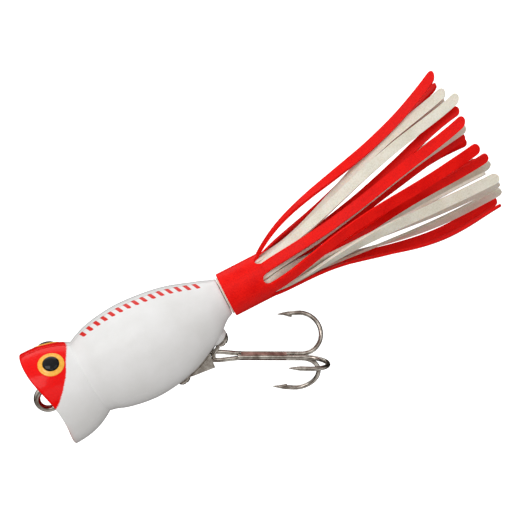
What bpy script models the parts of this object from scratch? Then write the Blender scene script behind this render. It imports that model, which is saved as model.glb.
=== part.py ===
"""Topwater popper: hollow two-part body with a cupped face, one belly treble and a tail skirt.

Lengths are in millimetres and MM turns them into Blender's metres. The origin is the centre of the
line tie's eye. The lure swims towards -X with its back towards +Z, and its seam lies in the XZ plane.
"""

import math
from typing import NamedTuple

import bmesh
import bpy
from mathutils import Vector

MM = 0.001
X_AXIS = Vector((1.0, 0.0, 0.0))
Y_AXIS = Vector((0.0, 1.0, 0.0))
SEAM_GAP = 0.06  # between the two shells
FIT = 0.05  # clearance between pieces that touch in life

# Mouth rim: an ellipse across the lure whose sides are scooped back.
RIM_X, RIM_LEAN, RIM_SCOOP = -0.3, 1.0, 1.7
RIM_HALF_HEIGHT, RIM_HALF_WIDTH, RIM_Z = 11.45, 9.9, -0.15
LIP = 1.0  # wall at the mouth
CUP_FLOOR_X = 5.6
NECK_X, NECK_LEAN = 10.0, 0.45
HEAD_FLARE = 2.4  # how fast the head opens from the neck to the rim

# Trunk: (x, radius) and (x, height of the centre), read through a smooth curve.
TRUNK_RADIUS = [(10.0, 8.45), (11.6, 9.0), (14.0, 9.85), (18.0, 10.6), (22.0, 10.85), (27.0, 10.4),
                (31.5, 9.45), (35.5, 7.95), (39.0, 6.3), (41.5, 4.75), (43.0, 4.1)]
TRUNK_CENTRE = [(10.0, 0.1), (12.0, 0.37), (22.0, 0.42), (29.0, 0.65), (34.0, 1.1), (38.6, 1.6),
                (41.0, 2.25), (43.0, 2.45)]
TALL, NARROW = 1.015, 0.915  # height and width of a trunk section over its radius
ROUND_FROM_X, ROUND_TO_X = 36.0, 43.0  # the section turns round towards the tail
WALL = 1.0
SIDES = 36

# Tail stud that the skirt is pushed on.
TAIL_Z = 2.45
SHOULDER_X, STUD_RADIUS, STUD_END_X = 43.1, 2.6, 51.0
STUD_GROOVE = 0.35

# Line tie: a screw eye.
EYE_RADIUS, TIE_WIRE = 2.48, 0.725
TIE_END_X, THREAD_PITCH, THREAD_DEPTH = 15.5, 0.9, 0.16

# Eyes of the fish, on the flare of the head.
EYE_U, EYE_T = 0.47, math.radians(32.5)
IRIS_RADIUS, PUPIL_RADIUS, EYE_SEAT = 2.65, 1.8, 0.85
IRIS_HEIGHT, PUPIL_WALL, PUPIL_DOME = 0.7, 0.78, 0.52

# Belly hardware. A seat is (x, z, tilt): a flat face whose outward normal leans back by the tilt.
FRONT_SEAT = (27.2, -9.95, math.radians(8.5))
REAR_SEAT = (38.2, -6.0, math.radians(23.0))
PLATE = 0.45  # sheet thickness
PLATE_HALF_WIDTH = 1.6
HEAD_RADIUS, HEAD_HEIGHT, SCREW_RADIUS, SCREW_LENGTH = 1.6, 1.15, 0.75, 5.2
SLOT_WIDTH, SLOT_DEPTH = 0.45, 0.5
BOSS_RADIUS, BOSS_DEPTH = 2.1, 6.6
GUARD_HALF_WIDTH, GUARD_APEX = 1.8, (34.45, -10.75)
BAIL_RADIUS, BAIL_HALF_WIDTH = 0.42, 1.3

# Treble hook, in a plane frame: u runs from the pivot along the shank, r away from the shank's axis.
PIVOT = Vector((35.15, 0.0, -8.92))
HOOK_PITCH = math.radians(30.2)  # below the tail direction
WIRE = 0.49
WIRE_OFFSET = 0.6  # wire centre to the shank's axis
BEND_U, BEND_RADIUS = 19.45, 4.6
TIP_U, TIP_R, TIP_RADIUS = 14.5, 9.4, 0.05
BEND_OVER = math.radians(6.0)  # how far the bend goes past half a turn
BARB_BACK, BARB_OUT = 3.0, 0.42
FIRST_AZIMUTH = math.radians(128.0)  # from the near side (-Y) upwards
LOOP_RADIUS = 0.97  # wire centre of the eye round the pivot
BRAZE_U = (6.0, 16.0)

# Skirt: three nested sleeves, each slit into strands. Angles run from -Y upwards, in degrees.
SLEEVE_X = 43.65
SLIT_X = 52.2
STRAND_START_X = 53.3
TIP_ROUNDING = 1.0
STRAND_STEPS = 12
ARRIVE_Y = 0.8  # sideways slope at a tip, over the strand's mean slope
TURNED = 0.8  # part of its length over which a strand turns to its own facing
THIN, SETTLE = 0.83, 0.25  # thickness of the free strand over the sleeve's, reached at this part of it


class Strand(NamedTuple):
    """Tip of a strand, its slopes over x, how far it bows and sways, and the way it faces at the tip."""

    x: float
    y: float
    z: float
    leave_y: float
    leave_z: float
    arrive_z: float
    bow_y: float
    bow_z: float
    sway_z: float
    facing: float


OUTER_STRANDS = [
    Strand(104.7, -5.5, 15.9, -0.13, 0.21, 0.36, -0.1, 0.1, -0.8, 28),
    Strand(103.4, -0.2, 26.0, 0.05, 0.78, 0.59, -0.4, -1.5, -0.2, 41),
    Strand(103.2, 2.5, 22.4, -0.02, 0.50, 0.50, -0.2, -0.1, -1.6, 86),
    Strand(104.9, 3.0, -8.0, -0.03, -0.28, 0.10, 0.0, -0.2, 1.1, 240),
    Strand(104.7, -1.6, -7.5, 0.01, -0.13, 0.04, -0.0, -0.1, 2.1, 300),
    Strand(104.9, -7.3, 9.5, -0.33, 0.18, 0.17, -0.4, 1.9, 0.9, 363)]
MIDDLE_STRANDS = [
    Strand(104.5, -3.0, 13.1, 0.07, 0.17, 0.14, -0.1, -0.4, -0.6, 19),
    Strand(105.8, -3.0, 20.1, 0.00, 0.28, 0.38, 0.1, 1.1, -1.0, 28),
    Strand(103.9, -1.1, 21.7, 0.02, 0.07, 0.33, 0.5, 1.5, -0.7, 36),
    Strand(103.4, 2.2, 18.8, 0.06, 0.10, 0.31, 0.2, 0.5, -0.6, 60),
    Strand(103.7, 4.7, 11.3, 0.08, 0.05, 0.16, -0.3, -0.8, -0.9, 120),
    Strand(103.8, 6.3, 8.9, 0.10, -0.08, 0.08, 0.2, 0.0, -0.6, 160),
    Strand(104.2, 5.1, 1.7, 0.06, -0.09, 0.02, -0.0, -0.3, -0.6, 190),
    Strand(106.3, 0.6, -5.5, -0.02, -0.18, 0.00, 0.1, -0.2, 0.7, 334),
    Strand(106.4, -1.0, -3.1, -0.06, -0.05, -0.04, -0.0, 0.8, 0.7, 326),
    Strand(106.3, -5.3, 0.4, -0.40, 0.00, -0.01, -1.7, 2.6, 0.9, 375),
    Strand(104.2, -3.7, 1.8, -0.30, 0.27, -0.01, 0.3, -1.0, -0.3, 298),
    Strand(106.2, -2.3, 2.8, 0.20, 0.26, 0.20, 1.7, -2.3, -2.0, 337)]
INNER_STRANDS = [
    Strand(104.9, -2.1, 17.0, 0.05, -0.05, 0.10, 0.3, -1.1, 0.6, 36),
    Strand(103.8, 0.0, 8.8, -0.01, -0.04, -0.07, -0.1, -1.0, -0.5, 39),
    Strand(103.7, 3.2, 9.0, -0.02, 0.01, 0.01, 0.4, 0.2, -0.6, 121),
    Strand(104.7, 1.4, 2.6, 0.07, 0.10, 0.01, -0.0, -0.6, -0.3, 200),
    Strand(106.0, -5.2, 5.8, 0.02, 0.00, 0.21, -0.3, 1.4, -0.8, 350),
    Strand(103.7, -1.8, 10.8, 0.34, 0.13, 0.08, -0.1, -1.2, -0.4, 22)]


def curve_value(points, x):
    """Height at x of the smooth curve through the points, each (x, value)."""
    last = len(points) - 1
    i = max(0, min(last - 1, sum(x >= p[0] for p in points) - 1))

    def slope(k):
        a, b = points[max(0, k - 1)], points[min(last, k + 1)]
        return (b[1] - a[1]) / (b[0] - a[0])

    (x0, v0), (x1, v1) = points[i], points[i + 1]
    return hermite(v0, v1, slope(i) * (x1 - x0), slope(i + 1) * (x1 - x0), (x - x0) / (x1 - x0))


def hermite(start, end, leave, arrive, u):
    """Cubic from start to end whose slopes over u are leave and arrive."""
    return ((2 * u**3 - 3 * u**2 + 1) * start + (u**3 - 2 * u**2 + u) * leave
            + (3 * u**2 - 2 * u**3) * end + (u**3 - u**2) * arrive)


def mix(a, b, u):
    return a + (b - a) * u


def arc(centre, radius, start, end, steps):
    """Points (a, b) of a circular arc in a plane."""
    return [(centre[0] + radius * math.cos(mix(start, end, i / steps)),
             centre[1] + radius * math.sin(mix(start, end, i / steps))) for i in range(steps + 1)]


def material(name, colour, roughness, metallic=0.0):
    made = bpy.data.materials.new(name)
    made.use_nodes = True
    shader = made.node_tree.nodes["Principled BSDF"]
    shader.inputs["Base Color"].default_value = (*colour, 1.0)
    shader.inputs["Roughness"].default_value = roughness
    shader.inputs["Metallic"].default_value = metallic
    return made


def add_object(name, points, faces, finish=None, origin=Vector(), sharp=40.0):
    """An object from points in millimetres; without a finish it is a helper that isn't part of the lure."""
    mesh = bpy.data.meshes.new(name)
    mesh.from_pydata([(Vector(p) - origin) * MM for p in points], [], faces)
    mesh.shade_smooth()
    mesh.set_sharp_from_angle(angle=math.radians(sharp))
    made = bpy.data.objects.new(name, mesh)
    made.location = origin * MM
    bpy.context.scene.collection.objects.link(made)
    if finish:
        mesh.materials.append(finish)
    else:
        made.hide_render = True
        made.display_type = "WIRE"
    return made


def boolean(target, operation, *others):
    for other in others:
        change = target.modifiers.new(operation.title() + " " + other.name, "BOOLEAN")
        change.operation = operation
        change.object = other


def loft(rings, first_pole=None, last_pole=None):
    """Points and faces of a closed skin over rings of equal length, each end capped or run to a pole."""
    size = len(rings[0])
    points = [p for ring in rings for p in ring]
    faces = [(k * size + j, k * size + (j + 1) % size, (k + 1) * size + (j + 1) % size, (k + 1) * size + j)
             for k in range(len(rings) - 1) for j in range(size)]
    for pole, base, turn in ((first_pole, 0, -1), (last_pole, (len(rings) - 1) * size, 1)):
        ring = [base + j for j in range(size)][::turn]
        if pole is None:
            faces.append(tuple(ring))
        else:
            points.append(pole)
            faces += [(ring[j], ring[(j + 1) % size], len(points) - 1) for j in range(size)]
    return points, faces


def frame_along(axis):
    """Two unit vectors square to the axis."""
    axis = axis.normalized()
    side = Y_AXIS if abs(axis.y) < 0.9 else X_AXIS
    side = (side - axis * side.dot(axis)).normalized()
    return side, axis.cross(side)


def turned(profile, foot, axis, sides):
    """A solid turned about the axis: the profile holds (along, radius), from one end to the other."""
    axis = axis.normalized()
    a, b = frame_along(axis)
    rings = []
    for along, radius in profile:
        rings.append([foot + axis * along + (a * math.cos(w) + b * math.sin(w)) * radius
                      for w in (math.tau * j / sides for j in range(sides))])
    return loft(rings)


def turned_ring(profile, foot, axis, sides):
    """The same for a profile that closes on itself, which leaves a bore along the axis."""
    points, faces = turned(profile, foot, axis, sides)
    last = (len(profile) - 1) * sides
    wall = [(last + j, last + (j + 1) % sides, (j + 1) % sides, j) for j in range(sides)]
    return points, faces[:-2] + wall


def sweep(path, radii, sides, barb=None):
    """A round wire along the path, with flat ends. barb is (ring, outward vector)."""
    axes = [(path[min(i + 1, len(path) - 1)] - path[max(i - 1, 0)]).normalized() for i in range(len(path))]
    side, _ = frame_along(axes[0])
    rings = []
    for i, point in enumerate(path):
        side = (side - axes[i] * side.dot(axes[i])).normalized()
        other = axes[i].cross(side)
        ring = []
        for j in range(sides):
            w = math.tau * j / sides
            out = side * math.cos(w) + other * math.sin(w)
            ring.append(point + out * radii[i])
            if barb and i in barb and out.dot(barb[i]) > 0.6 * barb[i].length:
                ring[-1] += barb[i]
        rings.append(ring)
    return loft(rings)


def seat_frame(seat):
    """Middle of a seat and its outward normal."""
    x, z, tilt = seat
    return Vector((x, 0.0, z)), Vector((math.sin(tilt), 0.0, -math.cos(tilt)))


# ---- body ----

def rim_x(t):
    return RIM_X - RIM_LEAN * math.cos(t) + RIM_SCOOP * math.sin(t) ** 4


def neck_x(t):
    return NECK_X - NECK_LEAN * math.cos(t)


def trunk_section(x):
    """(half width, half height, centre height) of the trunk at x."""
    radius = curve_value(TRUNK_RADIUS, x)
    roundness = min(1.0, max(0.0, (x - ROUND_FROM_X) / (ROUND_TO_X - ROUND_FROM_X)))
    return (radius * mix(NARROW, 1.0, roundness), radius * mix(TALL, 1.0, roundness),
            curve_value(TRUNK_CENTRE, x))


def head_section(u):
    """The same for the head, from the neck (0) to the rim (1)."""
    flare = 1.0 - (1.0 - u) ** HEAD_FLARE
    width, height, centre = trunk_section(NECK_X)
    return (mix(width, RIM_HALF_WIDTH, flare), mix(height, RIM_HALF_HEIGHT, flare), mix(centre, RIM_Z, u))


def around(x_of, width, height, centre):
    """One ring of the body: x may change with the angle t, which runs from the back round by -Y."""
    ring = []
    for j in range(SIDES):
        t = math.tau * (j + 0.5) / SIDES
        ring.append(Vector((x_of(t), -width * math.sin(t), centre + height * math.cos(t))))
    return ring


def head_point(u, t):
    width, height, centre = head_section(u)
    return Vector((mix(neck_x(t), rim_x(t), u), -width * math.sin(t), centre + height * math.cos(t)))


def body_skin():
    rings = []
    for v in (0.3, 0.55, 0.75, 0.9, 1.0):
        rings.append(around(lambda t: mix(CUP_FLOOR_X, rim_x(t) + 0.3, v**2),
                            (RIM_HALF_WIDTH - LIP) * v, (RIM_HALF_HEIGHT - LIP) * v, RIM_Z))
    rings.append(around(rim_x, RIM_HALF_WIDTH - LIP / 2, RIM_HALF_HEIGHT - LIP / 2, RIM_Z))
    for u in (0.965, 0.8, 0.6, 0.4, 0.22, 0.08, 0.0):
        rings.append(around(lambda t: mix(neck_x(t), rim_x(t), u), *head_section(u)))
    for x in (12.0, 15.0, 18.5, 22.0, 25.5, 29.0, 32.0, 35.0, 37.5, 39.7, 41.6, SHOULDER_X):
        fade = max(0.0, 1.0 - (x - NECK_X) / 8.0)
        rings.append(around(lambda t: x - NECK_LEAN * fade * math.cos(t), *trunk_section(min(x, 43.0))))
    groove = STUD_RADIUS - STUD_GROOVE
    for x, radius in ((SHOULDER_X, STUD_RADIUS), (STUD_END_X - 2.6, STUD_RADIUS), (STUD_END_X - 2.4, groove),
                      (STUD_END_X - 1.4, groove), (STUD_END_X - 1.2, STUD_RADIUS),
                      (STUD_END_X - 0.5, STUD_RADIUS), (STUD_END_X, STUD_RADIUS - 0.6)):
        rings.append(around(lambda t: x, radius, radius, TAIL_Z))
    return loft(rings, first_pole=Vector((CUP_FLOOR_X, 0.0, RIM_Z)))


def body_cavity():
    """The air chamber, which gives the lure its float."""
    rings = []
    for x, inset in ((7.4, 5.2), (8.2, 2.6), (10.5, 0.0), (14.0, 0.0), (19.0, 0.0), (24.0, 0.0),
                     (29.0, 0.0), (33.0, 0.0), (36.5, 0.0), (38.8, 1.2)):
        width, height, centre = trunk_section(max(x, NECK_X))
        rings.append(around(lambda t: x, width - WALL - inset, height - WALL - inset, centre))
    return loft(rings)


def half_space(name, side):
    """A box that covers one side of the seam, short of it by half the gap."""
    reach, x_max = 30.0, 70.0
    corners = [Vector((x, y, z)) for x in (-20.0, x_max)
               for y in sorted((side * SEAM_GAP / 2, side * reach)) for z in (-reach, reach)]
    faces = [(0, 1, 3, 2), (4, 6, 7, 5), (0, 4, 5, 1), (2, 3, 7, 6), (0, 2, 6, 4), (1, 5, 7, 3)]
    return add_object(name, corners, faces)


def eye_axis(side):
    """Seat and outward normal of the eye on one side."""
    t = -side * EYE_T
    step = 0.01
    along = head_point(EYE_U + step, t) - head_point(EYE_U - step, t)
    across = head_point(EYE_U, t + step) - head_point(EYE_U, t - step)
    normal = along.cross(across).normalized()
    normal *= math.copysign(1.0, normal.z)
    return head_point(EYE_U, t) - normal * EYE_SEAT, normal


def make_body(finish):
    cavity = add_object("cut_cavity", *body_cavity())
    pads, holes = [], []
    for name, seat in (("front", FRONT_SEAT), ("rear", REAR_SEAT)):
        middle, normal = seat_frame(seat)
        top = [(-BOSS_DEPTH, BOSS_RADIUS - 0.3), (-0.25, BOSS_RADIUS), (0.0, BOSS_RADIUS - 0.25)]
        pads.append(add_object("boss_" + name, *turned(top, middle, normal, 24)))
        bore = [(-SCREW_LENGTH - 0.3, SCREW_RADIUS + FIT), (1.0, SCREW_RADIUS + FIT)]
        holes.append(add_object("bore_" + name, *turned(bore, middle, normal, 14)))
    tie_boss = turned([(0.0, 2.2), (11.8, 1.9)], Vector((5.0, 0.0, 0.0)), X_AXIS, 20)
    tie_boss = add_object("boss_line_tie", *tie_boss)
    bore = turned([(0.0, TIE_WIRE + FIT), (12.0, TIE_WIRE + FIT)], Vector((4.0, 0.0, 0.0)), X_AXIS, 14)
    holes.append(add_object("bore_line_tie", *bore))
    boolean(cavity, "DIFFERENCE", *pads, tie_boss)
    for side, word in ((1, "left"), (-1, "right")):
        seat, normal = eye_axis(side)
        socket = turned([(0.0, IRIS_RADIUS + FIT), (3.0, IRIS_RADIUS + FIT)], seat, normal, 28)
        socket = add_object("socket_" + word, *socket)
        shell = add_object("body_shell_" + word, *body_skin(), finish)
        boolean(shell, "UNION", pads[1])
        boolean(shell, "DIFFERENCE", cavity, *holes, socket)
        boolean(shell, "INTERSECT", half_space("half_" + word, side))


def make_eyes(iris_finish, pupil_finish):
    for side, word in ((1, "left"), (-1, "right")):
        seat, normal = eye_axis(side)
        foot = seat + normal * FIT
        inner = PUPIL_RADIUS + FIT
        ring = [(0.0, IRIS_RADIUS), (IRIS_HEIGHT - 0.28, IRIS_RADIUS),
                (IRIS_HEIGHT - 0.12, IRIS_RADIUS - 0.3), (IRIS_HEIGHT, inner), (0.0, inner)]
        add_object("eye_iris_" + word, *turned_ring(ring, foot, normal, 28), iris_finish)
        dome = [(0.0, PUPIL_RADIUS), (PUPIL_WALL, PUPIL_RADIUS)]
        dome += [(PUPIL_WALL + PUPIL_DOME * math.sin(w), 0.94 * PUPIL_RADIUS * math.cos(w))
                 for w in (math.radians(d) for d in (12, 32, 52, 70, 84))]
        add_object("eye_pupil_" + word, *turned(dome, foot, normal, 24), pupil_finish)


# ---- line tie ----

def make_line_tie(finish):
    """The wire comes forward out of the cup, goes once round the eye and stops short of its own shank."""
    threads = []
    x = TIE_END_X
    while x > CUP_FLOOR_X + 1.5:
        threads += [(x, TIE_WIRE), (x - THREAD_PITCH / 2, TIE_WIRE - THREAD_DEPTH)]
        x -= THREAD_PITCH
    path = [Vector((x, 0.0, 0.0)) for x, _ in threads]
    radii = [r for _, r in threads]
    path += [Vector((x, 0.0, 0.0)) for x in (6.2, 4.6, 3.7)]
    start = math.radians(42.0)
    path.append(Vector((2.85, 0.0, 0.55)))
    path += [Vector((a, 0.0, b)) for a, b in arc((0.0, 0.0), EYE_RADIUS, start, math.tau - start, 26)]
    radii += [TIE_WIRE] * (len(path) - len(radii))
    add_object("line_tie", *sweep(path, radii, 10), finish)


# ---- belly hardware ----

def make_screws(finish):
    for name, seat in (("hanger_screw_front", FRONT_SEAT), ("hanger_screw_rear", REAR_SEAT)):
        middle, normal = seat_frame(seat)
        foot = middle + normal * (PLATE + 2 * FIT)
        dome = [(HEAD_HEIGHT * math.sin(w), HEAD_RADIUS * math.cos(w))
                for w in (math.radians(d) for d in (0, 22, 45, 65, 82))]
        core = SCREW_RADIUS - 0.05
        shank = [(-SCREW_LENGTH, 0.25), (-SCREW_LENGTH + 0.9, core), (0.0, core)]
        screw = add_object(name, *turned(shank + dome, foot, normal, 20), finish)
        across, along = frame_along(normal)
        top = foot + normal * (HEAD_HEIGHT - SLOT_DEPTH)
        corners = [top + across * a + along * b + normal * c for a in (-2.5, 2.5)
                   for b in (-SLOT_WIDTH / 2, SLOT_WIDTH / 2) for c in (0.0, 1.5)]
        faces = [(0, 1, 3, 2), (4, 6, 7, 5), (0, 4, 5, 1), (2, 3, 7, 6), (0, 2, 6, 4), (1, 5, 7, 3)]
        boolean(screw, "DIFFERENCE", add_object("slot_" + name, corners, faces))


def ribbon(route, half_widths, thickness):
    """A flat strap along a route of (x, z) in the seam plane. It hangs below the route."""
    rings = []
    for i, (x, z) in enumerate(route):
        a, b = route[max(i - 1, 0)], route[min(i + 1, len(route) - 1)]
        down = Vector((b[1] - a[1], 0.0, a[0] - b[0])).normalized() * thickness
        top, wide = Vector((x, 0.0, z)), Y_AXIS * half_widths[i]
        rings.append([top - wide, top + wide, top + wide + down, top - wide + down])
    return loft(rings)


def prism(outline, half_width):
    """An outline of (x, z) in the seam plane, extruded both ways along Y."""
    rings = [[Vector((x, y, z)) for x, z in outline] for y in (half_width, -half_width)]
    return loft(rings)


def screw_hole(name, seat):
    middle, normal = seat_frame(seat)
    bore = turned([(-1.0, SCREW_RADIUS + 0.08), (1.5, SCREW_RADIUS + 0.08)], middle, normal, 16)
    return add_object(name, *bore)


def belly_z(x):
    _, height, centre = trunk_section(x)
    return centre - height


def foot_route(seat, reach, blunt=False):
    """(x, z) of points across a seat, from -reach to +reach, each with the foot's half width.

    A blunt foot is full width at its front end.
    """
    middle, normal = seat_frame(seat)
    along = Vector((-normal.z, 0.0, normal.x))
    route, widths = [], []
    for part in (-1.0, -0.8, -0.4, 0.4, 0.8, 1.0):
        point = middle + along * (part * reach) + normal * FIT
        route.append((point.x, point.z))
        narrowing = 0.0 if blunt and part < 0.0 else 0.9 * part**2
        widths.append(PLATE_HALF_WIDTH * math.sqrt(1.0 - narrowing))
    return route, widths


def make_guard(finish):
    """Front half of the hanger: a foot, a strap on the belly and a wedge that shields the hook's eye."""
    route, widths = foot_route(FRONT_SEAT, 1.75)
    route.pop()
    for x in (29.4, 31.0, 32.6, 34.0, 34.75):
        route.append((x, belly_z(x) - 0.1))
    widths = widths[:4] + [PLATE_HALF_WIDTH] * (len(route) - 4)
    guard = add_object("hanger_guard", *ribbon(route, widths, PLATE), finish)
    nose, rear, apex_x, apex_z = 28.9, 34.7, *GUARD_APEX
    top = [(x, belly_z(x) - 0.1 - PLATE / 2) for x in (rear, 32.6, 31.0, nose)]
    wedge = top + [(nose + 0.2, belly_z(nose) - 0.1 - PLATE), (apex_x, apex_z)]
    back, mouth = rear + 3.0, apex_x - 1.25
    room = [(back, belly_z(rear) + 1.0), (mouth, belly_z(mouth) + 1.0),
            (mouth, belly_z(mouth) - PLATE - 0.12)]
    room += [(x, z - PLATE / 2 - 0.02) for x, z in top[1:3]]
    room += [(mouth, apex_z + PLATE + 0.12), (mouth, apex_z - 1.0), (back, apex_z - 1.0)]
    boolean(guard, "UNION", add_object("guard_wedge", *prism(wedge, GUARD_HALF_WIDTH)))
    boolean(guard, "DIFFERENCE", add_object("guard_room", *prism(room, GUARD_HALF_WIDTH - 0.38)),
            screw_hole("guard_hole", FRONT_SEAT))


def make_bail(finish):
    """Rear half of the hanger: a foot whose wire loop holds the cross bar that the hook hangs on."""
    route, widths = foot_route(REAR_SEAT, 1.75, blunt=True)
    bail = add_object("hanger_bail", *ribbon(route, widths, PLATE), finish)
    arm = [(37.15, -6.95), (36.5, -7.22), (35.95, -7.5), (35.5, -7.95), (35.22, -8.48)]
    corner = 0.55
    path = [Vector((x, -BAIL_HALF_WIDTH, z)) for x, z in arm]
    for y, dip in arc((0.0, 0.0), corner, 0.0, math.pi / 2, 3)[1:]:
        path.append(Vector((PIVOT.x, -BAIL_HALF_WIDTH + corner - y, PIVOT.z + corner - dip)))
    path += [Vector((p.x, -p.y, p.z)) for p in reversed(path)]
    loop = sweep(path, [BAIL_RADIUS] * len(path), 10)
    boolean(bail, "UNION", add_object("bail_loop", *loop))
    boolean(bail, "DIFFERENCE", screw_hole("bail_hole", REAR_SEAT))


# ---- treble hook ----

def hook_frame():
    """Directions of the shank and of up, square to the shank."""
    along = Vector((math.cos(HOOK_PITCH), 0.0, -math.sin(HOOK_PITCH)))
    return along, Vector((math.sin(HOOK_PITCH), 0.0, math.cos(HOOK_PITCH)))


def hook_point(u, r, azimuth, y=0.0):
    along, up = hook_frame()
    out = up * math.sin(azimuth) - Y_AXIS * math.cos(azimuth)
    return PIVOT + along * u + out * r + Y_AXIS * y


def hook_arm(azimuth, shank):
    """Path and radii of one hook from its shank stations to its point, and its barb."""
    centre = (BEND_U, WIRE_OFFSET + BEND_RADIUS)
    outline = arc(centre, BEND_RADIUS, -math.pi / 2, math.pi / 2 + BEND_OVER, 14)
    start, tip = outline[-1], (TIP_U, TIP_R)
    length = math.dist(start, tip)
    stations = [length - BARB_BACK - 0.25, length - BARB_BACK + 0.35, length - 1.6, length - 0.7, length]
    outline += [(mix(start[0], tip[0], d / length), mix(start[1], tip[1], d / length)) for d in stations]
    path = [hook_point(u, WIRE_OFFSET, azimuth) for u in shank]
    path += [hook_point(u, r, azimuth) for u, r in outline]
    radii = [WIRE] * (len(path) - 4)
    radii += [WIRE * 0.92, WIRE * 0.6, WIRE * 0.33, TIP_RADIUS]
    barb = (hook_point(TIP_U + 2.0, 0.0, azimuth) - hook_point(TIP_U, 1.0, azimuth)).normalized() * BARB_OUT
    return path, radii, {len(path) - 5: barb}


def make_hook(finish, braze_finish):
    azimuths = [FIRST_AZIMUTH - math.tau * k / 3 for k in range(3)]
    upper, radii_u, barb_u = hook_arm(azimuths[0], (5.7, 9.0, 13.0))
    lower, radii_l, barb_l = hook_arm(azimuths[2], (5.7, 9.0, 13.0))
    round_end = arc((0.0, 0.0), LOOP_RADIUS, math.radians(80), math.radians(280), 12)
    loop = [hook_point(4.6, 0.64, azimuths[0] - 0.35), hook_point(3.3, 0.78, math.radians(96)),
            hook_point(1.6, 0.95, math.radians(90))]
    loop += [PIVOT + hook_frame()[0] * a + hook_frame()[1] * b for a, b in round_end]
    loop += [hook_point(1.6, 0.95, math.radians(-90)), hook_point(3.3, 0.78, math.radians(-96)),
             hook_point(4.6, 0.64, azimuths[2] + 0.2)]
    path = upper[::-1] + loop + lower
    radii = radii_u[::-1] + [WIRE] * len(loop) + radii_l
    barbs = {len(upper) - 1 - i: v for i, v in barb_u.items()}
    barbs.update({len(upper) + len(loop) + i: v for i, v in barb_l.items()})
    add_object("hook_double", *sweep(path, radii, 10, barbs), finish, PIVOT)
    path, radii, barb = hook_arm(azimuths[1], (5.4, 9.0, 13.0))
    add_object("hook_single", *sweep(path, radii, 10, barb), finish, PIVOT)
    make_braze(azimuths, braze_finish)


def make_braze(azimuths, finish):
    """The fillet metal between the three wires, one solid with a thin web in each nip."""
    section = []
    for azimuth in azimuths[::-1]:
        centre = (WIRE_OFFSET * math.cos(azimuth), WIRE_OFFSET * math.sin(azimuth))
        inward = azimuth + math.pi
        section += arc(centre, WIRE + 0.012, inward + math.radians(112), inward - math.radians(112), 10)
    rings = []
    for u in (BRAZE_U[0], BRAZE_U[1]):
        rings.append([hook_point(u, math.hypot(a, b), math.atan2(b, a)) for a, b in section])
    add_object("hook_braze", *loft(rings), finish, PIVOT)


# ---- skirt ----

def strand_centre(root, tip, u):
    """Point of a strand's centre line, from the sleeve (0) to the tip (1)."""
    length = tip.x - root.x
    bow = 16.0 * (u * (1.0 - u))**2
    drift = (tip.y - root.y) * ARRIVE_Y
    lift = tip.bow_z * bow + tip.sway_z * bow * (2.0 - 4.0 * u)
    return Vector((mix(root.x, tip.x, u),
                   hermite(root.y, tip.y, tip.leave_y * length, drift, u) + tip.bow_y * bow,
                   hermite(root.z, tip.z, tip.leave_z * length, tip.arrive_z * length, u) + lift))


def strand_facing(start, tip, u):
    """Angle of the outer face, turning the shorter way from the root to the tip."""
    turn = (math.radians(tip.facing) - start + math.pi) % math.tau - math.pi
    reach = min(1.0, u / TURNED)
    return start + turn * reach * reach * (3.0 - 2.0 * reach)


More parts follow.
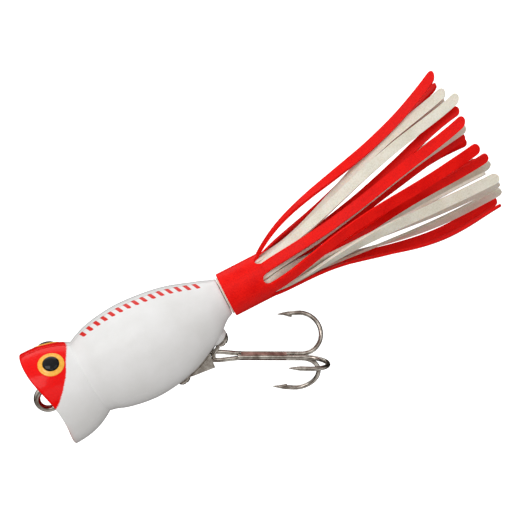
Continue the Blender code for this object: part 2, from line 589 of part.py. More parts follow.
def skirt_layer(name, front_x, inner, outer, width, free_width, first_angle, strands, finish):
    """A sleeve slit into strands: four columns of points to a strand, the fourth amid its slit."""
    count = len(strands)
    middle, thick = (inner + outer) / 2, outer - inner
    half_angle = width / 2 / middle
    pitch = math.tau / count
    notch = min(1.1, (pitch - 2 * half_angle) * middle / 2)
    points, faces = [], []

    def polar(x, radius, angle):
        points.append(Vector((x, -radius * math.cos(angle), TAIL_Z + radius * math.sin(angle))))
        return len(points) - 1

    angles = []
    for k in range(count):
        centre = math.radians(first_angle) + k * pitch
        angles += [centre - half_angle, centre, centre + half_angle, centre + pitch / 2]
    columns = len(angles)
    grid = []
    for station in range(3):
        row = []
        for j, angle in enumerate(angles):
            x = (front_x, SLIT_X - 3.0, SLIT_X + notch * (j % 4 != 3))[station]
            row.append((polar(x, outer, angle), polar(x, inner, angle)))
        grid.append(row)
    for j in range(columns):
        i = (j + 1) % columns
        faces.append((grid[0][j][1], grid[0][i][1], grid[0][i][0], grid[0][j][0]))
        for k in (0, 1):
            a, b, c, d = grid[k][j], grid[k][i], grid[k + 1][i], grid[k + 1][j]
            faces += [(a[0], b[0], c[0], d[0]), (a[1], d[1], c[1], b[1])]
        if j % 4 >= 2:
            a, b = grid[2][j], grid[2][i]
            faces.append((a[0], b[0], b[1], a[1]))
    for k, tip in enumerate(strands):
        angle = math.radians(first_angle) + k * pitch
        root = Vector((STRAND_START_X, -middle * math.cos(angle), TAIL_Z + middle * math.sin(angle)))
        sagitta = middle * (1 - math.cos(half_angle))
        last = [grid[2][4 * k + c] for c in range(3)]
        for step in range(STRAND_STEPS + 2):
            u = min(1.0, step / STRAND_STEPS)
            if step == STRAND_STEPS:
                u = 1.0 - TIP_ROUNDING / (tip.x - root.x)
            centre = strand_centre(root, tip, u)
            look = strand_facing(angle, tip, u)
            out = Vector((0.0, -math.cos(look), math.sin(look)))
            wide = Vector((0.0, math.sin(look), math.cos(look)))
            flat = max(0.0, 1.0 - 3.0 * u)
            settled = min(1.0, u / SETTLE)
            half = mix(width, free_width, settled) / 2 * (0.5 if step > STRAND_STEPS else 1.0)
            deep = thick * mix(1.0, THIN, settled)
            row = []
            for c in (-1, 0, 1):
                base = centre + wide * (half * c) + out * (sagitta * flat * (0.5 - abs(c)))
                for way in (0.5, -0.5):
                    points.append(base + out * (deep * way))
                row.append((len(points) - 2, len(points) - 1))
            for c in (0, 1):
                faces += [(last[c][0], last[c + 1][0], row[c + 1][0], row[c][0]),
                          (last[c][1], row[c][1], row[c + 1][1], last[c + 1][1])]
            faces += [(last[0][0], row[0][0], row[0][1], last[0][1]),
                      (last[2][0], last[2][1], row[2][1], row[2][0])]
            last = row
        faces += [(last[c][0], last[c + 1][0], last[c + 1][1], last[c][1]) for c in (0, 1)]
    add_object(name, points, faces, finish)


def fix_normals():
    """Every mesh faces outwards, also the helpers that cut others."""
    for mesh in bpy.data.meshes:
        edit = bmesh.new()
        edit.from_mesh(mesh)
        bmesh.ops.recalc_face_normals(edit, faces=edit.faces)
        edit.to_mesh(mesh)
        edit.free()


def main():
    for old in list(bpy.data.objects):
        bpy.data.objects.remove(old)
    plastic = material("gloss_white_plastic", (0.86, 0.86, 0.85), 0.18)
    yellow = material("yellow_iris", (0.95, 0.45, 0.02), 0.3)
    black = material("black_pupil", (0.01, 0.01, 0.01), 0.1)
    nickel = material("nickel_plate", (0.72, 0.70, 0.66), 0.22, 1.0)
    braze = material("copper_braze", (0.52, 0.30, 0.22), 0.4, 1.0)
    red_rubber = material("red_rubber", (0.78, 0.02, 0.01), 0.55)
    white_rubber = material("white_rubber", (0.78, 0.75, 0.66), 0.55)
    make_body(plastic)
    make_eyes(yellow, black)
    make_line_tie(nickel)
    make_guard(nickel)
    make_bail(nickel)
    make_screws(nickel)
    make_hook(nickel, braze)
    skirt_layer("skirt_outer", SLEEVE_X, 4.22, 4.92, 2.35, 2.35, 41.6, OUTER_STRANDS, red_rubber)
    skirt_layer("skirt_middle", SLEEVE_X - 0.4, 3.45, 4.15, 1.72, 2.25, 26.6, MIDDLE_STRANDS, white_rubber)
    skirt_layer("skirt_inner", SLEEVE_X + 0.3, 2.7, 3.4, 2.1, 2.1, 71.6, INNER_STRANDS, red_rubber)
    fix_normals()


main()
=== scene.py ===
import math

import bmesh
import bpy
from mathutils import Matrix, Vector, noise
from mathutils.bvhtree import BVHTree


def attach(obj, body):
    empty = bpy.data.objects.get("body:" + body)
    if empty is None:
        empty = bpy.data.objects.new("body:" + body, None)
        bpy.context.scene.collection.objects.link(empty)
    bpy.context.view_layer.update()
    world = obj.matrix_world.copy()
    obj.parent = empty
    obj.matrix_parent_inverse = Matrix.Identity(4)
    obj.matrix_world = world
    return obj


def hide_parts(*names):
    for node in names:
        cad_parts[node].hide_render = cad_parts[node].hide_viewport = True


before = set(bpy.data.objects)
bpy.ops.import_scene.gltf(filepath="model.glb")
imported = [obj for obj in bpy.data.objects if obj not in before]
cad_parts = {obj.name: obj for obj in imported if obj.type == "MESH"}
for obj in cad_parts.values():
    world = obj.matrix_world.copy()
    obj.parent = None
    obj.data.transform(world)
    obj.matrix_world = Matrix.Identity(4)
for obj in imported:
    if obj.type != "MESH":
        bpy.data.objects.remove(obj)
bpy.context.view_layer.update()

# Lengths are in millimetres, in the CAD's own frame: the origin is the line tie's eye, -X the mouth,
# +Z the back. MM turns them into metres.
MM = 0.001
X_AXIS, Y_AXIS = Vector((1.0, 0.0, 0.0)), Vector((0.0, 1.0, 0.0))

# ---- the CAD's own dimensions ----

RIM_X, RIM_LEAN, RIM_SCOOP = -0.3, 1.0, 1.7
RIM_HALF_HEIGHT, RIM_HALF_WIDTH, RIM_Z = 11.45, 9.9, -0.15
LIP, CUP_FLOOR_X = 1.0, 5.6
NECK_X, NECK_LEAN, HEAD_FLARE = 10.0, 0.45, 2.4
TRUNK_RADIUS = [(10.0, 8.45), (11.6, 9.0), (14.0, 9.85), (18.0, 10.6), (22.0, 10.85), (27.0, 10.4),
                (31.5, 9.45), (35.5, 7.95), (39.0, 6.3), (41.5, 4.75), (43.0, 4.1)]
TRUNK_CENTRE = [(10.0, 0.1), (12.0, 0.37), (22.0, 0.42), (29.0, 0.65), (34.0, 1.1), (38.6, 1.6),
                (41.0, 2.25), (43.0, 2.45)]
TALL, NARROW, ROUND_FROM_X, ROUND_TO_X = 1.015, 0.915, 36.0, 43.0
TAIL_Z, SHOULDER_X, STUD_RADIUS, STUD_END_X = 2.45, 43.1, 2.6, 51.0
GROOVE_FROM_X, GROOVE_TO_X, GROOVE_SLOPE, GROOVE_DEPTH = 48.6, 49.6, 0.2, 0.35
EYE_RADIUS, TIE_WIRE, TIE_END_X = 2.48, 0.725, 15.5
EYE_U, EYE_T, IRIS_RADIUS, PUPIL_RADIUS = 0.47, math.radians(32.5), 2.65, 1.8
REAR_SEAT = (38.2, -6.0, math.radians(23.0))
PIVOT, HOOK_PITCH = Vector((35.15, 0.0, -8.92)), math.radians(30.2)
WIRE, WIRE_OFFSET, BEND_U, BEND_RADIUS = 0.49, 0.6, 19.45, 4.6
TIP_U, TIP_R, BEND_OVER, FIRST_AZIMUTH = 14.5, 9.4, math.radians(6.0), math.radians(128.0)
LOOP_RADIUS = 0.97
SLIT_X, STRAND_START_X, ARRIVE_Y, TURNED, THIN, SETTLE = 52.2, 53.3, 0.8, 0.8, 0.83, 0.25
# A strand: tip x, y, z; slopes leave_y, leave_z, arrive_z; bow_y, bow_z, sway_z; facing in degrees.
# These are fitted values. They aren't worked out from the dimensions above.
OUTER_STRANDS = [
    (104.7, -5.5, 15.9, -0.13, 0.21, 0.36, -0.1, 0.1, -0.8, 28),
    (103.4, -0.2, 26.0, 0.05, 0.78, 0.59, -0.4, -1.5, -0.2, 41),
    (103.2, 2.5, 22.4, -0.02, 0.50, 0.50, -0.2, -0.1, -1.6, 86),
    (104.9, 3.0, -8.0, -0.03, -0.28, 0.10, 0.0, -0.2, 1.1, 240),
    (104.7, -1.6, -7.5, 0.01, -0.13, 0.04, -0.0, -0.1, 2.1, 300),
    (104.9, -7.3, 9.5, -0.33, 0.18, 0.17, -0.4, 1.9, 0.9, 363)]
MIDDLE_STRANDS = [
    (104.5, -3.0, 13.1, 0.07, 0.17, 0.14, -0.1, -0.4, -0.6, 19),
    (105.8, -3.0, 20.1, 0.00, 0.28, 0.38, 0.1, 1.1, -1.0, 28),
    (103.9, -1.1, 21.7, 0.02, 0.07, 0.33, 0.5, 1.5, -0.7, 36),
    (103.4, 2.2, 18.8, 0.06, 0.10, 0.31, 0.2, 0.5, -0.6, 60),
    (103.7, 4.7, 11.3, 0.08, 0.05, 0.16, -0.3, -0.8, -0.9, 120),
    (103.8, 6.3, 8.9, 0.10, -0.08, 0.08, 0.2, 0.0, -0.6, 160),
    (104.2, 5.1, 1.7, 0.06, -0.09, 0.02, -0.0, -0.3, -0.6, 190),
    (106.3, 0.6, -5.5, -0.02, -0.18, 0.00, 0.1, -0.2, 0.7, 334),
    (106.4, -1.0, -3.1, -0.06, -0.05, -0.04, -0.0, 0.8, 0.7, 326),
    (106.3, -5.3, 0.4, -0.40, 0.00, -0.01, -1.7, 2.6, 0.9, 375),
    (104.2, -3.7, 1.8, -0.30, 0.27, -0.01, 0.3, -1.0, -0.3, 298),
    (106.2, -2.3, 2.8, 0.20, 0.26, 0.20, 1.7, -2.3, -2.0, 337)]
INNER_STRANDS = [
    (104.9, -2.1, 17.0, 0.05, -0.05, 0.10, 0.3, -1.1, 0.6, 36),
    (103.8, 0.0, 8.8, -0.01, -0.04, -0.07, -0.1, -1.0, -0.5, 39),
    (103.7, 3.2, 9.0, -0.02, 0.01, 0.01, 0.4, 0.2, -0.6, 121),
    (104.7, 1.4, 2.6, 0.07, 0.10, 0.01, -0.0, -0.6, -0.3, 200),
    (106.0, -5.2, 5.8, 0.02, 0.00, 0.21, -0.3, 1.4, -0.8, 350),
    (103.7, -1.8, 10.8, 0.34, 0.13, 0.08, -0.1, -1.2, -0.4, 22)]
# layer: front x, inner and outer radius, width in the sleeve and beyond it, first angle, strands
LAYERS = {"skirt_outer": (43.65, 4.22, 4.92, 2.35, 2.35, 41.6, OUTER_STRANDS),
          "skirt_middle": (43.25, 3.45, 4.15, 1.72, 2.25, 26.6, MIDDLE_STRANDS),
          "skirt_inner": (43.95, 2.7, 3.4, 2.1, 2.1, 71.6, INNER_STRANDS)}

# ---- the view ----

ELEVATION, ROLL = math.radians(24.0), math.radians(27.2)
TARGET = Vector((53.49, 0.0, 6.095))
FRAME_WIDTH, LENS, SENSOR = 110.2, 150.0, 36.0
FLOOR_Z = -150.0
FLOOR_REACH = 40.0  # metres, from the middle to each edge


# ---- shapes ----

def mix(a, b, u):
    return a + (b - a) * u


def hermite(start, end, leave, arrive, u):
    return ((2 * u**3 - 3 * u**2 + 1) * start + (u**3 - 2 * u**2 + u) * leave
            + (3 * u**2 - 2 * u**3) * end + (u**3 - u**2) * arrive)


def curve_value(points, x):
    last = len(points) - 1
    i = max(0, min(last - 1, sum(x >= p[0] for p in points) - 1))

    def slope(k):
        a, b = points[max(0, k - 1)], points[min(last, k + 1)]
        return (b[1] - a[1]) / (b[0] - a[0])

    (x0, v0), (x1, v1) = points[i], points[i + 1]
    return hermite(v0, v1, slope(i) * (x1 - x0), slope(i + 1) * (x1 - x0), (x - x0) / (x1 - x0))


def rim_x(t):
    return RIM_X - RIM_LEAN * math.cos(t) + RIM_SCOOP * math.sin(t) ** 4


def neck_x(t):
    return NECK_X - NECK_LEAN * math.cos(t)


def trunk_section(x):
    radius = curve_value(TRUNK_RADIUS, x)
    roundness = min(1.0, max(0.0, (x - ROUND_FROM_X) / (ROUND_TO_X - ROUND_FROM_X)))
    return (radius * mix(NARROW, 1.0, roundness), radius * mix(TALL, 1.0, roundness),
            curve_value(TRUNK_CENTRE, x))


def head_section(u):
    flare = 1.0 - (1.0 - u) ** HEAD_FLARE
    width, height, centre = trunk_section(NECK_X)
    return (mix(width, RIM_HALF_WIDTH, flare), mix(height, RIM_HALF_HEIGHT, flare), mix(centre, RIM_Z, u))


def head_point(u, t):
    width, height, centre = head_section(u)
    return Vector((mix(neck_x(t), rim_x(t), u), -width * math.sin(t), centre + height * math.cos(t)))


def add_piece(name, points, faces, body, slot, finish, stands_for=(), sharp=38.0):
    """A piece from points in millimetres, riding on a body of the CAD."""
    mesh = bpy.data.meshes.new(name)
    mesh.from_pydata([Vector(p) * MM for p in points], [], faces)
    clean = bmesh.new()
    clean.from_mesh(mesh)
    bmesh.ops.recalc_face_normals(clean, faces=clean.faces[:])
    clean.to_mesh(mesh)
    clean.free()
    mesh.shade_smooth()
    mesh.set_sharp_from_angle(angle=math.radians(sharp))
    mesh.materials.append(finish)
    made = bpy.data.objects.new(name, mesh)
    bpy.context.scene.collection.objects.link(made)
    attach(made, body)
    if stands_for:
        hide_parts(*stands_for)
    return made


def loft(rings, closed=True):
    """A skin over rings of equal length. A closed one wraps each ring and caps both ends."""
    size = len(rings[0])
    points = [p for ring in rings for p in ring]
    across = size if closed else size - 1
    faces = [(k * size + j, k * size + (j + 1) % size, (k + 1) * size + (j + 1) % size, (k + 1) * size + j)
             for k in range(len(rings) - 1) for j in range(across)]
    if closed:
        faces += [tuple(range(size))[::-1], tuple((len(rings) - 1) * size + j for j in range(size))]
    return points, faces


def arc(centre, radius, start, end, steps):
    return [(centre[0] + radius * math.cos(mix(start, end, i / steps)),
             centre[1] + radius * math.sin(mix(start, end, i / steps))) for i in range(steps + 1)]


def frame_along(axis):
    axis = axis.normalized()
    side = Y_AXIS if abs(axis.y) < 0.9 else X_AXIS
    side = (side - axis * side.dot(axis)).normalized()
    return side, axis.cross(side)


def turned(profile, foot, axis, sides):
    axis = axis.normalized()
    a, b = frame_along(axis)
    return loft([[foot + axis * along + (a * math.cos(w) + b * math.sin(w)) * radius
                  for w in (math.tau * j / sides for j in range(sides))] for along, radius in profile])


def smooth_path(points, per_span):
    """Catmull-Rom points through a path; works on vectors."""
    made = []
    last = len(points) - 1
    for i in range(last):
        p0, p1, p2, p3 = (points[max(0, min(last, i + k))] for k in (-1, 0, 1, 2))
        for j in range(per_span):
            made.append(hermite(p1, p2, (p2 - p0) / 2, (p3 - p1) / 2, j / per_span))
    made.append(points[last])
    return made


def sweep(path, radius_at, sides, bulge=None):
    """A round wire along the path. radius_at(i) is its radius, and bulge(i, out) adds to a point."""
    axes = [(path[min(i + 1, len(path) - 1)] - path[max(i - 1, 0)]).normalized() for i in range(len(path))]
    side, _ = frame_along(axes[0])
    rings = []
    for i, point in enumerate(path):
        side = (side - axes[i] * side.dot(axes[i])).normalized()
        other = axes[i].cross(side)
        ring = []
        for j in range(sides):
            w = math.tau * j / sides
            out = side * math.cos(w) + other * math.sin(w)
            ring.append(point + out * radius_at(i) + (bulge(i, out) if bulge else Vector()))
        rings.append(ring)
    return loft(rings)


# ---- materials ----

def shader_of(name):
    made = bpy.data.materials.new(name)
    made.use_nodes = True
    return made, made.node_tree, made.node_tree.nodes["Principled BSDF"]


def add_node(tree, kind, **settings):
    node = tree.nodes.new(kind)
    for key, value in settings.items():
        if key in node.inputs:
            node.inputs[key].default_value = value
        else:
            setattr(node, key, value)
    return node


def noise_node(tree, size, detail=3.0, stretch=(1.0, 1.0, 1.0)):
    """Noise whose features are about this many millimetres."""
    place = add_node(tree, "ShaderNodeTexCoord")
    move = add_node(tree, "ShaderNodeMapping", Scale=stretch)
    made = add_node(tree, "ShaderNodeTexNoise", Scale=1.0 / (size * MM), Detail=detail, Roughness=0.55)
    tree.links.new(place.outputs["Object"], move.inputs["Vector"])
    tree.links.new(move.outputs["Vector"], made.inputs["Vector"])
    return made.outputs["Fac"]


def ranged(tree, value, low, high, start=0.3, end=0.7):
    node = add_node(tree, "ShaderNodeMapRange")
    for key, number in (("From Min", start), ("From Max", end), ("To Min", low), ("To Max", high)):
        node.inputs[key].default_value = number
    tree.links.new(value, node.inputs["Value"])
    return node.outputs["Result"]


def colours(tree, factor, first, second):
    node = tree.nodes.new("ShaderNodeMix")
    node.data_type = "RGBA"
    for key, colour in (("A", first), ("B", second)):
        socket = next(s for s in node.inputs if s.name == key and s.type == "RGBA")
        if isinstance(colour, tuple):
            socket.default_value = (*colour, 1.0)
        else:
            tree.links.new(colour, socket)
    tree.links.new(factor, node.inputs[0])
    return next(s for s in node.outputs if s.type == "RGBA")


def bumped(tree, shader, layers):
    """Bumps on top of each other: each (height, strength, depth in millimetres)."""
    before = None
    for height, strength, depth in layers:
        node = add_node(tree, "ShaderNodeBump", Strength=strength, Distance=depth * MM)
        tree.links.new(height, node.inputs["Height"])
        if before:
            tree.links.new(before, node.inputs["Normal"])
        before = node.outputs["Normal"]
    tree.links.new(before, shader.inputs["Normal"])


def attribute(tree, name):
    return add_node(tree, "ShaderNodeAttribute", attribute_name=name).outputs["Fac"]


def paint_material():
    """Glossy white body paint with the red head, the red marks on the back and a clear coat over all."""
    made, tree, shader = shader_of("lure_paint")
    mottle = noise_node(tree, 6.0)
    white = colours(tree, ranged(tree, mottle, 0.0, 1.0), (0.80, 0.80, 0.79), (0.86, 0.86, 0.86))
    speck = noise_node(tree, 0.35, 4.0)
    red = colours(tree, ranged(tree, speck, 0.0, 1.0), (0.80, 0.001, 0.001), (0.94, 0.003, 0.002))
    spray = ranged(tree, noise_node(tree, 0.25, 2.0), -0.12, 0.12, 0.2, 0.8)
    edge = add_node(tree, "ShaderNodeMath", operation="ADD")
    tree.links.new(attribute(tree, "head"), edge.inputs[0])
    tree.links.new(spray, edge.inputs[1])
    head = ranged(tree, edge.outputs[0], 0.0, 1.0, -0.12, 0.12)
    dust = ranged(tree, attribute(tree, "overspray"), 0.0, 1.0, 0.0, 1.0)
    tinted = colours(tree, dust, white, (0.86, 0.38, 0.34))
    marks = ranged(tree, attribute(tree, "marks"), 0.0, 1.0, -0.06, 0.04)
    marked = colours(tree, marks, tinted, (0.70, 0.02, 0.015))
    tree.links.new(colours(tree, head, marked, red), shader.inputs["Base Color"])
    tree.links.new(ranged(tree, noise_node(tree, 2.0), 0.16, 0.30), shader.inputs["Roughness"])
    shader.inputs["Specular IOR Level"].default_value = 0.08
    shader.inputs["Coat Weight"].default_value = 0.15
    shader.inputs["Coat Roughness"].default_value = 0.05
    bumped(tree, shader, [(noise_node(tree, 1.6, 2.0), 0.25, 0.02), (head, 0.35, 0.03),
                          (speck, 0.12, 0.008)])
    return made


def moulded_material(name, first, second, roughness, coat, gloss=0.5):
    made, tree, shader = shader_of(name)
    tree.links.new(colours(tree, ranged(tree, noise_node(tree, 0.5), 0.0, 1.0), first, second),
                   shader.inputs["Base Color"])
    tree.links.new(ranged(tree, noise_node(tree, 0.8), *roughness), shader.inputs["Roughness"])
    shader.inputs["Specular IOR Level"].default_value = gloss
    shader.inputs["Coat Weight"].default_value = coat
    shader.inputs["Coat Roughness"].default_value = 0.03
    bumped(tree, shader, [(noise_node(tree, 0.4, 2.0), 0.1, 0.01)])
    return made


def metal_material(name, first, second, roughness, grain, dents):
    """Plated or brazed metal: cloudy colour, uneven polish and a fine grain of drawing marks."""
    made, tree, shader = shader_of(name)
    shader.inputs["Metallic"].default_value = 1.0
    cloud = ranged(tree, noise_node(tree, 1.8, 3.0), 0.0, 1.0, 0.35, 0.65)
    tree.links.new(colours(tree, cloud, first, second), shader.inputs["Base Color"])
    tree.links.new(ranged(tree, noise_node(tree, 0.5, 4.0), *roughness), shader.inputs["Roughness"])
    bumped(tree, shader, [(noise_node(tree, dents, 3.0), 0.35, 0.05),
                          (noise_node(tree, grain, 2.0), 0.15, 0.01)])
    return made


def rubber_material(name, first, second, translucent):
    """Soft skirt rubber: a fine speckle, matt bloom in patches and a slight glow through thin strands."""
    made, tree, shader = shader_of(name)
    speck = noise_node(tree, 0.28, 5.0)
    patch = noise_node(tree, 3.5, 2.0)
    both = add_node(tree, "ShaderNodeMath", operation="MULTIPLY_ADD")
    tree.links.new(patch, both.inputs[0])
    both.inputs[1].default_value = 0.6
    tree.links.new(ranged(tree, speck, 0.0, 0.4), both.inputs[2])
    tree.links.new(colours(tree, ranged(tree, both.outputs[0], 0.0, 1.0, 0.25, 0.65), first, second),
                   shader.inputs["Base Color"])
    tree.links.new(ranged(tree, patch, 0.36, 0.55), shader.inputs["Roughness"])
    shader.inputs["Specular IOR Level"].default_value = 0.10
    shader.inputs["Subsurface Weight"].default_value = translucent
    shader.inputs["Subsurface Radius"].default_value = (1.0, 0.7, 0.5)
    shader.inputs["Subsurface Scale"].default_value = 0.6 * MM
    bumped(tree, shader, [(noise_node(tree, 1.4, 2.0), 0.35, 0.08), (speck, 0.7, 0.05)])
    return made


# ---- body ----

HEAD_EDGE = [(1.35, 1.4), (2.65, 2.3), (3.65, 3.26), (5.25, 4.88), (6.65, 6.49), (7.65, 8.03), (8.65, 8.98),
             (9.7, 9.3)]  # (x, z) of the paint's edge on the cheek
IRIS_FLANGE = 0.18  # how far the iris laps over the edge of its socket
MARK_T, MARK_FROM_X, MARK_TO_X, MARK_COUNT = 0.13, 12.2, 39.8, 15
MARK_SLANT, MARK_HALF_WIDTH, MARK_HALF_LENGTH = 0.35, 0.42, 1.2
HALF_COLUMNS = 96
CUP_RINGS, LIP_RINGS, HEAD_RINGS, TRUNK_STEPS = 14, 8, 31, 72
LIP_SET = 0.3  # how far the lip's round starts behind the rim
HEAD_TOP_U = 0.968  # where the head's skin meets the lip's round
SEAM_HALF = 0.008  # half of the hairline between the two halves
SKIN_DEPTH = 0.4


def body_rings():
    """(x by angle, half width, half height, centre height) from the cup's floor to the stud."""
    rings = []
    for i in range(1, CUP_RINGS + 1):
        v = i / CUP_RINGS
        rings.append((lambda t, v=v: mix(CUP_FLOOR_X, rim_x(t) + LIP_SET, v**2),
                      (RIM_HALF_WIDTH - LIP) * v, (RIM_HALF_HEIGHT - LIP) * v, RIM_Z))
    for i in range(1, LIP_RINGS + 1):
        a = mix(-math.pi / 2, math.pi / 2, i / (LIP_RINGS + 1))
        rings.append((lambda t, a=a: rim_x(t) + LIP_SET * (1.0 - math.cos(a)),
                      RIM_HALF_WIDTH - LIP / 2 + LIP / 2 * math.sin(a),
                      RIM_HALF_HEIGHT - LIP / 2 + LIP / 2 * math.sin(a), RIM_Z))
    for i in range(HEAD_RINGS):
        u = HEAD_TOP_U * (1.0 - i / (HEAD_RINGS - 1))
        rings.append((lambda t, u=u: mix(neck_x(t), rim_x(t), u), *head_section(u)))
    stations = [NECK_X + d for d in (0.12, 0.3)]
    stations += [mix(NECK_X + 0.5, ROUND_TO_X, i / TRUNK_STEPS) for i in range(TRUNK_STEPS + 1)]
    for x in stations:
        fade = max(0.0, 1.0 - (x - NECK_X) / 8.0)
        rings.append((lambda t, x=x, fade=fade: x - NECK_LEAN * fade * math.cos(t), *trunk_section(x)))
    groove = STUD_RADIUS - GROOVE_DEPTH
    for x, radius in ((SHOULDER_X, 4.0), (SHOULDER_X, STUD_RADIUS + 0.1), (SHOULDER_X + 0.1, STUD_RADIUS),
                      (GROOVE_FROM_X - GROOVE_SLOPE, STUD_RADIUS), (GROOVE_FROM_X, groove),
                      (GROOVE_TO_X, groove), (GROOVE_TO_X + GROOVE_SLOPE, STUD_RADIUS),
                      (50.5, STUD_RADIUS), (STUD_END_X, STUD_RADIUS - 0.6), (STUD_END_X, 0.05)):
        rings.append((lambda t, x=x: x, radius, radius, TAIL_Z))
    return rings


def head_distance(x, z, t, inside_cup):
    """Millimetres inside the red paint, negative outside it."""
    if inside_cup:
        return 1.0
    if x > HEAD_EDGE[-1][0] + 1.0:
        return -1.0
    crease = neck_x(t) + 0.05 - x
    cheek = z - curve_value(HEAD_EDGE, min(HEAD_EDGE[-1][0], max(HEAD_EDGE[0][0], x)))
    return max(-1.0, min(1.0, crease, cheek * 0.75))


def mark_distance(x, t, radius):
    """Millimetres inside one of the slanting dashes along the back."""
    if t > math.pi:
        return -1.0
    pitch = (MARK_TO_X - MARK_FROM_X) / MARK_COUNT
    across = (t - MARK_T) * radius
    along = x - MARK_FROM_X - across * MARK_SLANT
    if not 0.0 < along < MARK_TO_X - MARK_FROM_X:
        return -1.0
    along = along % pitch - pitch / 2
    return max(-1.0, min(MARK_HALF_WIDTH - abs(along), MARK_HALF_LENGTH - abs(across)))


def make_body(paint):
    rings = body_rings()
    first_trunk = CUP_RINGS + LIP_RINGS + HEAD_RINGS
    for word, start, side in (("right", 0.0, -1.0), ("left", math.pi, 1.0)):
        angles = [start + math.pi * j / HALF_COLUMNS for j in range(HALF_COLUMNS + 1)]
        made, values = [], {"head": [], "marks": [], "overspray": []}
        for k, (x_of, width, height, centre) in enumerate(rings):
            ring = []
            for t in angles:
                y = side * SEAM_HALF - width * math.sin(t)
                point = Vector((x_of(t), y, centre + height * math.cos(t)))
                ring.append(point)
                past_cup = k - CUP_RINGS
                values["head"].append(head_distance(point.x, point.z, t, past_cup < 2))
                on_back = k > first_trunk + 1
                values["marks"].append(mark_distance(point.x, t, width) if on_back else -1.0)
                low = max(0.0, min(1.0, (-2.0 - point.z) / 3.0)) * (1 <= past_cup < 12)
                values["overspray"].append(low * math.exp(-(((past_cup - 3) / 4.0) ** 2)) * 0.8)
            made.append(ring)
        points, faces = loft(made, closed=False)
        piece = add_piece("body_skin_" + word, points, faces, "lure_body", "gloss_white_plastic", paint,
                          ["body_shell_" + word])
        for key, numbers in values.items():
            piece.data.attributes.new(key, "FLOAT", "POINT").data.foreach_set("value", numbers)
        thick = piece.modifiers.new("Wall", "SOLIDIFY")
        thick.thickness, thick.offset = SKIN_DEPTH * MM, -1.0
        thick.use_even_offset = False


def skin_tree():
    """The near and far outer skin of the head, for seating the eyes."""
    steps, sides = 60, 240
    rings = [[head_point(HEAD_TOP_U * (1.0 - i / steps), math.tau * j / sides) for j in range(sides)]
             for i in range(steps + 1)]
    points, faces = loft(rings)
    return BVHTree.FromPolygons(points, faces[:-2])


def make_eyes(iris_finish, pupil_finish):
    tree = skin_tree()
    sides = 72
    for side, word in ((1, "left"), (-1, "right")):
        t = -side * EYE_T
        step = 0.01
        middle = head_point(EYE_U, t)
        along = head_point(EYE_U + step, t) - head_point(EYE_U - step, t)
        normal = along.cross(head_point(EYE_U, t + step) - head_point(EYE_U, t - step)).normalized()
        normal *= math.copysign(1.0, normal.z)
        a, b = frame_along(normal)

        def cap(profile):
            rings = []
            for radius, lift in profile:
                ring = []
                for j in range(sides):
                    w = math.tau * j / sides
                    out = a * math.cos(w) + b * math.sin(w)
                    start = middle + out * radius + normal * 4.0
                    hit = tree.ray_cast(start, -normal, 9.0)[0]
                    ring.append((hit or start - normal * 4.0) + normal * lift)
                rings.append(ring)
            return loft(rings)

        rim = IRIS_RADIUS + IRIS_FLANGE
        iris = [(rim * 0.97, -0.3), (rim, -0.05), (rim, 0.03), (rim - 0.06, 0.09), (rim - 0.16, 0.11),
                (rim - 0.45, 0.08),
                (PUPIL_RADIUS + 0.32, 0.08), (PUPIL_RADIUS + 0.2, 0.12), (PUPIL_RADIUS + 0.1, 0.17),
                (PUPIL_RADIUS, 0.12), (PUPIL_RADIUS - 0.1, -0.2)]
        add_piece("eye_ring_" + word, *cap(iris), "lure_body", "yellow_iris", iris_finish,
                  ["eye_iris_" + word], 70)
        dome = [(PUPIL_RADIUS, -0.3), (PUPIL_RADIUS, 0.05)]
        dome += [(PUPIL_RADIUS * math.cos(w), 0.05 + 0.55 * math.sin(w))
                 for w in (math.radians(d) for d in range(8, 90, 6))]
        add_piece("eye_dome_" + word, *cap(dome), "lure_body", "black_pupil", pupil_finish,
                  ["eye_pupil_" + word], 70)


def make_pad(paint):
    """The small boss under the rear foot of the hanger."""
    x, z, tilt = REAR_SEAT
    normal = Vector((math.sin(tilt), 0.0, -math.cos(tilt)))
    pad = [(-2.4, 2.1), (-0.5, 2.1), (-0.25, 2.06), (-0.08, 1.97), (0.0, 1.85), (0.0, 0.9)]
    piece = add_piece("belly_pad", *turned(pad, Vector((x, 0.0, z)), normal, 48), "lure_body",
                      "gloss_white_plastic", paint)
    for key, value in (("head", -1.0), ("marks", -1.0), ("overspray", 0.0)):
        numbers = piece.data.attributes.new(key, "FLOAT", "POINT").data
        numbers.foreach_set("value", [value] * len(numbers))


# ---- wires ----

TIE_OPENING = math.radians(42.0)  # half of the gap in the eye's ring, where the shank meets it
THREAD_DEPTH, THREAD_PITCH, THREAD_RUNOUT = 0.08, 9.0, 8  # depth in millimetres, the rest in path points
FAR_FROM_POINT = 99.0
BARB_FROM, BARB_PEAK, BARB_TO, BARB_HEIGHT = 1.5, 2.95, 3.25, 0.42  # distances from the point


def make_line_tie(finish):
    straight = [Vector((mix(TIE_END_X, 6.4, i / 90), 0.0, 0.0)) for i in range(91)]
    bend = [Vector((x, 0.0, z)) for x, z in ((6.2, 0.0), (5.2, 0.0), (4.4, 0.0), (3.6, 0.06), (2.85, 0.55))]
    ring = [Vector((a, 0.0, b))
            for a, b in arc((0.0, 0.0), EYE_RADIUS, TIE_OPENING, math.tau - TIE_OPENING, 40)]
    path = straight + smooth_path(bend + ring[1:], 3)
    threaded = len(straight) - THREAD_RUNOUT

    def radius(i):
        if i < threaded:
            return TIE_WIRE - THREAD_DEPTH + THREAD_DEPTH * math.cos(i * math.tau / THREAD_PITCH)
        if i > len(path) - 4:
            return TIE_WIRE * (1.0 - 0.12 * (i - len(path) + 4) / 3)
        return TIE_WIRE

    add_piece("line_tie_wire", *sweep(path, radius, 28), "lure_body", "nickel_plate", finish,
              ["line_tie"], 60)


